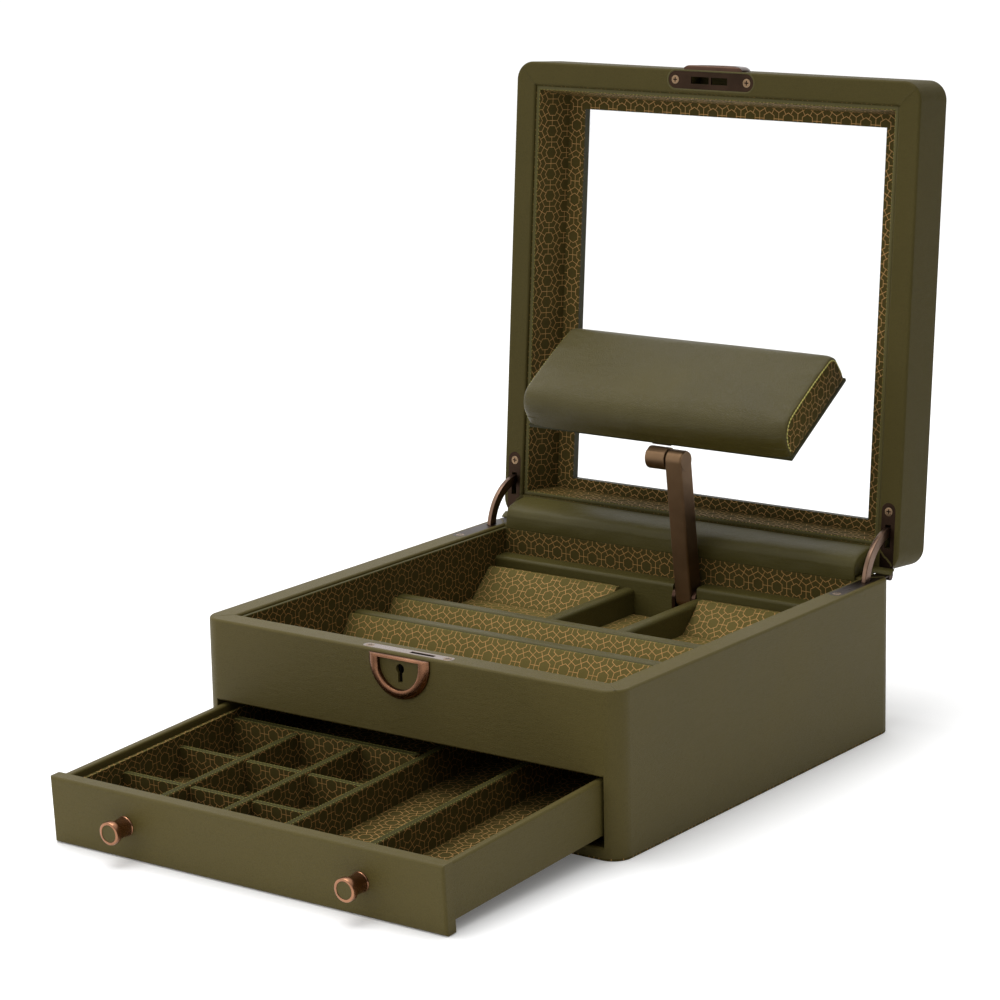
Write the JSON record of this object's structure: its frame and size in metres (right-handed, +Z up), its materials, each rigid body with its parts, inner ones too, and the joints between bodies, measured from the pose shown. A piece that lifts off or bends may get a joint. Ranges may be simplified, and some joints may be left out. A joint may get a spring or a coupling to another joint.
{
  "type": "watch stand box",
  "caption": "Square leather-covered watch and jewellery box with a glazed hinged lid, a folding cushion stand, a divided tray and a pull-out drawer.",
  "frame": {"origin": "bottom centre of the case, in the plane it rests on; the pulled-out drawer and the open lid reach past it", "axes": "+X to the right seen from the front, +Y to the back, towards the lid's hinges, +Z up"},
  "size_m": [0.3, 0.5204, 0.4002],
  "materials": {
    "case_leather": "smooth fine-grained olive leather",
    "divider_leather": "smooth olive leather, turned over board",
    "cushion_leather": "smooth padded olive leather",
    "lining_fabric": "printed olive lining with a bronze line pattern",
    "bronze": "brushed antique bronze",
    "screws": "polished bronze, cross recess",
    "steel": "satin",
    "board": "plain board",
    "glass": "clear pane"
  },
  "bodies": {
    "case": {"case_front": "case_leather", "case_left": "case_leather", "case_right": "case_leather", "case_back": "case_leather", "base_panel": "board", "base_cover": "case_leather", "tray_deck": "board", "tray_linings": "lining_fabric", "floor_pads": "lining_fabric", "front_divider": "divider_leather", "rear_divider": "divider_leather", "front_wedge_pad": "lining_fabric", "rear_wedge_pad": "lining_fabric", "side_dividers": "divider_leather", "side_wedge_pads": "lining_fabric", "ledge": "divider_leather", "hinge_gusset": "case_leather", "case_hinge_leaves": "bronze", "case_screws": "screws", "lock_body": "steel", "lock_plate": "bronze", "lock_ring": "bronze", "arm_bracket": "steel", "arm_pivot_pin": "steel"},
    "lid": {"lid_front": "case_leather", "lid_left": "case_leather", "lid_right": "case_leather", "lid_back": "case_leather", "lid_frame": "case_leather", "lid_flange_lining": "lining_fabric", "lid_glass": "glass", "lid_linings": "lining_fabric", "strike_plate": "bronze", "lid_escutcheon": "bronze", "lid_hinge_leaves": "bronze", "lid_hinge_pins": "steel", "lid_screws": "screws"},
    "stays": {"stays": "bronze"},
    "arm": {"stand_arm": "case_leather"},
    "cushion": {"cushion_barrel": "bronze", "head_pin": "bronze", "cushion_screws": "screws", "cushion_board": "case_leather", "cushion_pad": "cushion_leather", "cushion_ends": "lining_fabric"},
    "drawer_guides": {"drawer_guide_pins": "steel"},
    "drawer": {"drawer_front": "case_leather", "drawer_sides": "case_leather", "drawer_back": "divider_leather", "drawer_bottom": "board", "drawer_floor": "lining_fabric", "drawer_linings": "lining_fabric", "drawer_long_dividers": "divider_leather", "drawer_cross_dividers": "divider_leather", "drawer_knobs": "bronze", "knob_inlays": "case_leather"},
    "key": {"key_cylinder": "steel", "lock_claw": "steel"}
  },
  "joints": [
    {"name": "lid_hinge", "type": "hinge", "parent": "case", "child": "lid", "pos_m": [0, 0.1522, 0.09665], "axis": [1, 0, 0], "range_deg": [0, 94.82], "deforming": ["hinge_gusset"]},
    {"name": "stay_slide", "type": "hinge", "parent": "case", "child": "stays", "pos_m": [0, 0.16, 0.0932], "axis": [1, 0, 0], "range_deg": [0, 68.1]},
    {"name": "arm_fold", "type": "hinge", "parent": "case", "child": "arm", "pos_m": [0, 0.125, 0.0713], "axis": [1, 0, 0], "range_deg": [0, 87.1]},
    {"name": "cushion_tilt", "type": "hinge", "parent": "arm", "child": "cushion", "pos_m": [0, 0.1142, 0.16235], "axis": [1, 0, 0], "range_deg": [-111.4, 0]},
    {"name": "drawer_slide", "type": "slide", "parent": "case", "child": "drawer_guides", "axis": [0, 0.9996, -0.0285], "range_m": [0, 0.14412]},
    {"name": "drawer_tip", "type": "hinge", "parent": "drawer_guides", "child": "drawer", "pos_m": [0, -0.06606, 0.0342], "axis": [1, 0, 0], "range_deg": [-3.01, 0]},
    {"name": "key_turn", "type": "hinge", "parent": "case", "child": "key", "pos_m": [0, -0.148, 0.0887], "axis": [0, -1, 0], "range_deg": [0, 90]}
  ],
  "couplings": [
    {"joint": "stay_slide", "follows": "lid_hinge", "ratio": 0.71715},
    {"joint": "arm_fold", "follows": "lid_hinge", "ratio": 0.91753},
    {"joint": "cushion_tilt", "follows": "lid_hinge", "ratio": -1.1738},
    {"joint": "drawer_tip", "follows": "drawer_slide", "rad_per_m": -0.3633}
  ]
}
